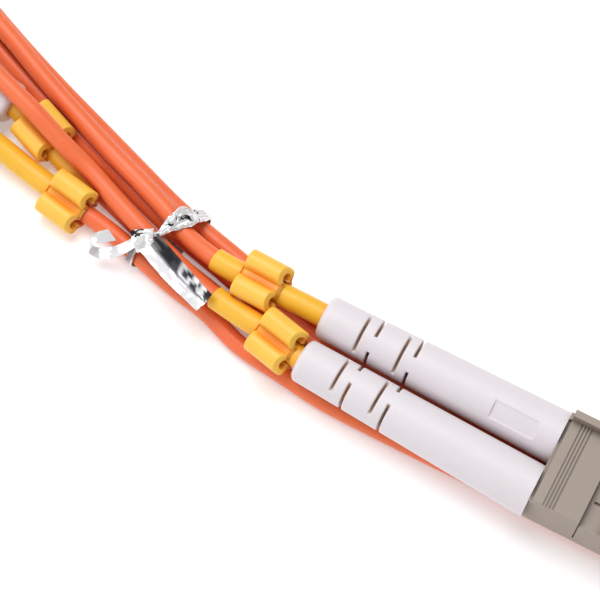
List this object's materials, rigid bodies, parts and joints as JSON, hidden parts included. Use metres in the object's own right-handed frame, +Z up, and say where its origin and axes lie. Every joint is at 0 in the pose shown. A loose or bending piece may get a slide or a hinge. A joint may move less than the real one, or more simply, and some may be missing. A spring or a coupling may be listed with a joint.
{
  "type": "duplex fiber optic patch cord",
  "caption": "Coiled duplex fibre patch cord with a small form factor duplex plug on each end, white boots, yellow sleeves and clips on its legs, and a foil tie round the bundle.",
  "frame": {"origin": "centre of end B's duplex clip, on its flat underside", "axes": "+Z up from the table; +X and +Y along the table, with end B's plugs pointing at 142 degrees from +X and end A's at -30 degrees"},
  "size_m": [0.161, 0.1335, 0.011],
  "materials": {
    "connector_plastic": "satin moulded",
    "boot_plastic": "satin moulded",
    "yellow_plastic": "satin moulded",
    "orange_jacket": "satin extruded",
    "ceramic": "polished",
    "flange_metal": "turned",
    "spring_steel": "drawn",
    "crimp_metal": "crimped",
    "buffered_fibre": "smooth",
    "foil": "creased foil"
  },
  "bodies": {
    "base": {"front_housing_a1": "connector_plastic", "front_housing_a2": "connector_plastic", "front_housing_b1": "connector_plastic", "front_housing_b2": "connector_plastic", "rear_body_a1": "connector_plastic", "rear_body_a2": "connector_plastic", "rear_body_b1": "connector_plastic", "rear_body_b2": "connector_plastic", "crimp_ring_a1": "crimp_metal", "crimp_ring_a2": "crimp_metal", "crimp_ring_b1": "crimp_metal", "crimp_ring_b2": "crimp_metal", "boot_a1": "boot_plastic", "boot_a2": "boot_plastic", "boot_b1": "boot_plastic", "boot_b2": "boot_plastic", "id_sleeve_a1": "yellow_plastic", "id_sleeve_a2": "yellow_plastic", "id_sleeve_b1": "yellow_plastic", "id_sleeve_b2": "yellow_plastic", "leg_clip_a1": "yellow_plastic", "leg_clip_a2": "yellow_plastic", "leg_clip_b1": "yellow_plastic", "leg_clip_b2": "yellow_plastic", "spring_a1": "spring_steel", "spring_a2": "spring_steel", "spring_b1": "spring_steel", "spring_b2": "spring_steel", "leg_a1": "orange_jacket", "leg_a2": "orange_jacket", "leg_b1": "orange_jacket", "leg_b2": "orange_jacket", "duplex_clip_a": "connector_plastic", "duplex_clip_b": "connector_plastic", "duplex_cord": "orange_jacket", "twist_tie": "foil"},
    "ferrule_unit_a1": {"ferrule_a1": "ceramic", "ferrule_flange_a1": "flange_metal", "fibre_a1": "buffered_fibre"},
    "ferrule_unit_a2": {"ferrule_a2": "ceramic", "ferrule_flange_a2": "flange_metal", "fibre_a2": "buffered_fibre"},
    "ferrule_unit_b1": {"ferrule_b1": "ceramic", "ferrule_flange_b1": "flange_metal", "fibre_b1": "buffered_fibre"},
    "ferrule_unit_b2": {"ferrule_b2": "ceramic", "ferrule_flange_b2": "flange_metal", "fibre_b2": "buffered_fibre"},
    "trigger_unit_a": {"trigger_a": "connector_plastic"},
    "trigger_unit_b": {"trigger_b": "connector_plastic"},
    "latch_unit_a1": {"latch_a1": "connector_plastic"},
    "latch_unit_a2": {"latch_a2": "connector_plastic"},
    "latch_unit_b1": {"latch_b1": "connector_plastic"},
    "latch_unit_b2": {"latch_b2": "connector_plastic"}
  },
  "joints": [
    {"name": "ferrule_float_a1", "type": "slide", "parent": "base", "child": "ferrule_unit_a1", "axis": [-0.866, 0.5, 0], "range_m": [0, 0.001], "stiffness_N_per_m": 500, "deforming": ["spring_a1"]},
    {"name": "ferrule_float_a2", "type": "slide", "parent": "base", "child": "ferrule_unit_a2", "axis": [-0.866, 0.5, 0], "range_m": [0, 0.001], "stiffness_N_per_m": 500, "deforming": ["spring_a2"]},
    {"name": "ferrule_float_b1", "type": "slide", "parent": "base", "child": "ferrule_unit_b1", "axis": [0.788, -0.6157, 0], "range_m": [0, 0.001], "stiffness_N_per_m": 500, "deforming": ["spring_b1"]},
    {"name": "ferrule_float_b2", "type": "slide", "parent": "base", "child": "ferrule_unit_b2", "axis": [0.788, -0.6157, 0], "range_m": [0, 0.001], "stiffness_N_per_m": 500, "deforming": ["spring_b2"]},
    {"name": "trigger_press_a", "type": "hinge", "parent": "base", "child": "trigger_unit_a", "pos_m": [0.08638, -0.06395, 0.008], "axis": [0.5, 0.866, 0], "range_deg": [0, 14], "stiffness_Nm_per_rad": 0.02},
    {"name": "trigger_press_b", "type": "hinge", "parent": "base", "child": "trigger_unit_b", "pos_m": [-0.00307, 0.0024, 0.0059], "axis": [-0.6157, -0.788, 0], "range_deg": [0, 14], "stiffness_Nm_per_rad": 0.02},
    {"name": "latch_flex_a1", "type": "hinge", "parent": "base", "child": "latch_unit_a1", "pos_m": [0.09586, -0.06582, 0.00758], "axis": [0.5, 0.866, 0], "range_deg": [-14, 0], "stiffness_Nm_per_rad": 0.00001},
    {"name": "latch_flex_a2", "type": "hinge", "parent": "base", "child": "latch_unit_a2", "pos_m": [0.09274, -0.07123, 0.00758], "axis": [0.5, 0.866, 0], "range_deg": [-14, 0], "stiffness_Nm_per_rad": 0.00001},
    {"name": "latch_flex_b1", "type": "hinge", "parent": "base", "child": "latch_unit_b1", "pos_m": [-0.01221, 0.00557, 0.00548], "axis": [-0.6157, -0.788, 0], "range_deg": [-14, 0], "stiffness_Nm_per_rad": 0.00001},
    {"name": "latch_flex_b2", "type": "hinge", "parent": "base", "child": "latch_unit_b2", "pos_m": [-0.00836, 0.0105, 0.00548], "axis": [-0.6157, -0.788, 0], "range_deg": [-14, 0], "stiffness_Nm_per_rad": 0.00001}
  ],
  "couplings": [
    {"joint": "latch_flex_a1", "follows": "trigger_press_a", "ratio": -1},
    {"joint": "latch_flex_a2", "follows": "trigger_press_a", "ratio": -1},
    {"joint": "latch_flex_b1", "follows": "trigger_press_b", "ratio": -1},
    {"joint": "latch_flex_b2", "follows": "trigger_press_b", "ratio": -1}
  ]
}
